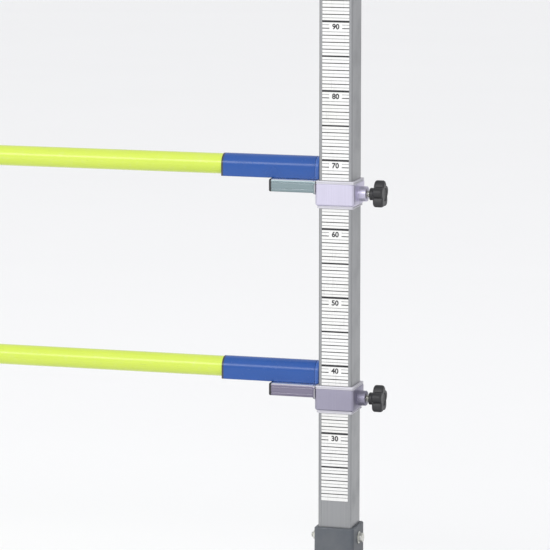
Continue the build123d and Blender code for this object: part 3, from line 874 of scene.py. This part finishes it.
def make_support_plug(prefix, side, body):
    """Black plug in the support's open end, with a rounded rim and a shallow dished face."""
    root_frame, length, depth, height = support_measures(prefix, side)
    low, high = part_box(f"{prefix}_support_cap")
    support_low, support_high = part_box(f"{prefix}_support")
    flange = support_low.x - low.x if side > 0 else high.x - support_high.x
    spigot, rim = 12 * MM, 1.4 * MM

    def section(inset):
        corner = max(0.4 * MM, SUPPORT_CORNER - inset)
        return rounded_rectangle(depth - 2 * inset, height - 2 * inset, corner)

    inner = SUPPORT_WALL + 0.2 * MM
    outlines = [(-spigot, section(inner + 0.5 * MM)), (MM - spigot, section(inner)), (0, section(inner))]
    outlines.append((0, section(0.1 * MM)))
    for inset, back in quarter_round(rim, 6):
        outlines.append((flange - back, section(inset)))
    for inset, dip in ((2.4, 0.05), (3.0, 0.5), (4.5, 0.9)):
        outlines.append((flange - dip * MM, section(inset * MM)))
    rings = rings_along(lambda a, b, c: root_frame(a, b, length + c), outlines)
    Shape().loft(rings).piece(
        f"{prefix}_dished_cap", "black_plastic", body, "black_plastic", [f"{prefix}_support_cap"]
    )


def make_screw(prefix, side, body):
    """Clamp screw with a real helical thread."""
    low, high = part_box(f"{prefix}_clamp_screw")
    centre = (low + high) / 2
    start = low.x if side > 0 else high.x
    to_frame = local((start, centre.y, centre.z), (side, 0, 0))
    pitch, depth = 1.5 * MM, 0.85 * MM
    rings = thread_rings(to_frame, 0, high.x - low.x, (high.z - low.z) / 2, pitch, depth)
    Shape().loft(rings).piece(
        f"{prefix}_threaded_screw", "zinc_steel", body, "zinc_steel", [f"{prefix}_clamp_screw"], 30
    )


def make_knob(prefix, side, body):
    """Five-lobed star knob: soft lobes, a turned hub and a recessed disc in its face."""
    low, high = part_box(f"{prefix}_clamp_knob")
    screw_low, screw_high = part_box(f"{prefix}_clamp_screw")
    centre = (screw_low + screw_high) / 2
    start = low.x if side > 0 else high.x
    length = high.x - low.x
    to_frame = local((start, centre.y, centre.z), (side, 0, 0))
    lobes, reach, waist, fullness = 5, 20.5 * MM, 14.5 * MM, 0.62
    hub, hub_edge, bore, bore_depth = 9 * MM, 0.6 * MM, 5.1 * MM, 5 * MM
    count, neck, back_rounding, front_rounding = 120, 7 * MM, 4 * MM, 3.5 * MM

    def star(share):
        """Outline between a round hub at 0 and the full star at 1."""
        points = []
        for angle in angles(count):
            wave = 0.5 + 0.5 * math.cos(lobes * (angle - math.pi / 2))
            full = waist + (reach - waist) * wave**fullness
            points.append(polar(hub + (full - hub) * share, angle))
        return points

    outlines = [(bore_depth, circle(bore, count)), (0, circle(bore, count))]
    outlines += [(0, circle(hub - hub_edge, count)), (hub_edge, circle(hub, count))]
    outlines += [(neck - 1.5 * MM, circle(hub, count)), (neck, star(0.2))]
    for rise, short in quarter_round(1, 8):
        outlines.append((neck + back_rounding * rise, star(1 - 0.3 * short)))
    outlines.append((length - front_rounding, star(1)))
    for inward, back in quarter_round(1, 8):
        outlines.append((length - front_rounding * back, star(1 - 0.28 * inward)))
    for along, radius in ((0, 10.2), (0.2, 9.8), (1.1, 9.5), (1.2, 9.3), (0.8, 4.0), (0.75, 0.5)):
        outlines.append((length - along * MM, circle(radius * MM, count)))
    Shape().loft(rings_along(to_frame, outlines)).piece(
        f"{prefix}_star_knob", "knob_plastic", body, "knob_plastic", [f"{prefix}_clamp_knob"], 40
    )


def make_slider_unit(place, hand, side):
    """One slider with its glides, support and clamp."""
    prefix = f"{place}_{hand}"
    body = f"{prefix}_slider_unit"
    dress(f"{prefix}_slider", f"{place}_slider")
    dress(f"{prefix}_pressure_pad", "brass")
    make_glides(prefix, hand, body)
    make_support(prefix, side, body, f"{place}_support")
    make_support_plug(prefix, side, body)
    make_screw(prefix, side, f"{prefix}_screw")
    make_knob(prefix, side, f"{prefix}_screw")


# Crossbars --------------------------------------------------------------------------------------


def make_bar(place):
    """Round tube of the crossbar."""
    low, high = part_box(f"{place}_bar")
    centre = (low + high) / 2
    radius, wall, stations, count = (high.z - low.z) / 2, 2 * MM, 60, 96
    to_frame = local((low.x, centre.y, centre.z), (1, 0, 0))
    length = high.x - low.x
    outlines = [(length * k / stations, circle(radius, count)) for k in range(stations + 1)]
    outlines += [(length, circle(radius - wall, count)), (0, circle(radius - wall, count))]
    Shape().loft(rings_along(to_frame, outlines), loop=True).piece(
        f"{place}_fibre_bar", "bar_lime", f"{place}_crossbar", "bar_lime", [f"{place}_bar"]
    )

END_CORNER = 1.5 * MM


def end_section(low, high):
    """Height of the axis of an end piece or cap in a box, and its outline as a function of an inset."""
    radius = (high.y - low.y) / 2
    axis_height = high.z - radius

    def outline(inset):
        return end_outline(inset, radius, axis_height - low.z, END_CORNER)

    return axis_height, outline


def make_end_piece(place, hand, side):
    """Moulded sleeve on the bar's end, with soft edges."""
    node = f"{place}_{hand}_end_piece"
    low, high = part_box(node)
    inner_end = low.x if side > 0 else high.x
    length, stations = high.x - low.x, 24
    axis_height, outline = end_section(low, high)
    to_frame = local((inner_end, 0, axis_height), (side, 0, 0))
    count = len(outline(0))
    bore, soft, seam = 15.06 * MM, 0.5 * MM, 0.4 * MM
    outlines = [(length, circle(bore, count)), (soft, circle(bore, count))]
    outlines += [(0, circle(bore + 0.2 * MM, count))]
    outlines += [(along, outline(inset)) for along, inset in quarter_round(soft, 6)]
    outlines += [(length * k / stations, outline(0)) for k in range(1, stations)]
    outlines += [(length - back, outline(inset)) for inset, back in quarter_round(seam, 4)]
    Shape().loft(rings_along(to_frame, outlines), loop=True).piece(
        f"{place}_{hand}_moulded_end", "end_blue", f"{place}_crossbar", "end_blue", [node], 40
    )


def make_end_caps(place):
    """Caps on both ends, seated in a fine shadow gap, with a dished face."""
    low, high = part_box(f"{place}_end_caps")
    axis_height, outline = end_section(low, high)
    rim = 1.5 * MM
    shape = Shape()
    for hand, side in HANDS.items():
        piece_low, piece_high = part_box(f"{place}_{hand}_end_piece")
        seam = piece_high.x if side > 0 else piece_low.x
        thickness = abs((high.x if side > 0 else low.x) - seam)
        to_frame = local((seam, 0, axis_height), (side, 0, 0))
        outlines = []
        for along, inset in ((-0.05, 1.0), (0.35, 0.9), (0.5, 0.15), (0.8, 0)):
            outlines.append((along * MM, outline(inset * MM)))
        for inset, back in quarter_round(rim, 7):
            outlines.append((thickness - back, outline(inset)))
        for inset, dip in ((3.5, 0), (4.0, 0.15), (4.6, 0.55), (7.0, 0.7), (12.0, 0.7)):
            outlines.append((thickness - dip * MM, outline(inset * MM)))
        shape.loft(rings_along(to_frame, outlines))
    body, node = f"{place}_crossbar", f"{place}_end_caps"
    shape.piece(f"{place}_dished_ends", "end_cap_blue", body, "end_cap_blue", [node], 40)


def make_crossbar(place):
    """One crossbar with its two end pieces and their caps."""
    make_bar(place)
    make_end_caps(place)
    for hand, side in HANDS.items():
        make_end_piece(place, hand, side)


# Studio -----------------------------------------------------------------------------------------


def make_floor():
    """Pale floor, large enough to reach the horizon in low views."""
    reach, gap = 400.0, 0.3 * MM
    mesh = bpy.data.meshes.new("floor")
    corners = [(-reach, -reach, -gap), (reach, -reach, -gap), (reach, reach, -gap), (-reach, reach, -gap)]
    mesh.from_pydata(corners, [], [(0, 1, 2, 3)])
    mesh.materials.append(make_floor_finish())
    floor = add_object("floor", mesh)


def look_along(thing, direction):
    """Turn a light or the camera so that it faces along a direction."""
    thing.rotation_mode = "QUATERNION"
    thing.rotation_quaternion = direction.to_track_quat("-Z", "Y")


def make_light(name, place, target, width, height, power):
    """Soft box at a place, facing a target."""
    lamp = bpy.data.lights.new(name, "AREA")
    lamp.shape, lamp.size, lamp.size_y, lamp.energy = "RECTANGLE", width, height, power
    light = add_object(name, lamp)
    light.location = place
    look_along(light, Vector(target) - Vector(place))
    light.visible_camera = False


def make_sun(name, direction, strength, spread):
    """Broad, even light that shines along a direction, as from a very large soft box."""
    lamp = bpy.data.lights.new(name, "SUN")
    lamp.energy, lamp.angle = strength, math.radians(spread)
    light = add_object(name, lamp)
    look_along(light, Vector(direction))
    light.visible_glossy = False


def make_studio():
    """An even overhead light, a long low strip in front, and a pale surround."""
    make_floor()
    world = bpy.data.worlds.new("surround")
    bpy.context.scene.world = world
    world.use_nodes = True
    background = world.node_tree.nodes["Background"]
    background.inputs["Color"].default_value = (0.975, 0.98, 1.0, 1)
    background.inputs["Strength"].default_value = 0.8
    make_sun("overhead", (0.35, 0.6, -1.0), 0.75, 50)
    make_light("front_strip", (-0.6, -5.0, 3.05), (0.6, 0, 0.55), 9.0, 1.4, 185)


def make_camera():
    """Long lens from the front right, a little above the bars, framing the right-hand end of both."""
    yaw, elevation, distance = math.radians(16.5), math.radians(9.0), 5.121
    beside_upright, above_supports = 0.0905, 0.0095
    low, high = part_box("right_upright")
    tops = [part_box(f"{place}_right_support")[1].z for place in PLACES]
    aim = Vector(((low.x + high.x) / 2 - beside_upright, low.y, sum(tops) / 2 + above_supports))
    away = Vector(
        (math.sin(yaw) * math.cos(elevation), -math.cos(yaw) * math.cos(elevation), math.sin(elevation))
    )
    data = bpy.data.cameras.new("camera")
    data.lens, data.sensor_width = 231.0, 36.0
    data.clip_start, data.clip_end = 0.1, 2000.0
    camera = add_object("camera", data)
    camera.location = aim + away * distance
    look_along(camera, -away)
    bpy.context.scene.camera = camera


bpy.context.scene.view_settings.view_transform = "Standard"
make_camera()
make_studio()
for hand, side in HANDS.items():
    make_stand(hand, side)
    for place in PLACES:
        make_slider_unit(place, hand, side)
for place in PLACES:
    make_crossbar(place)
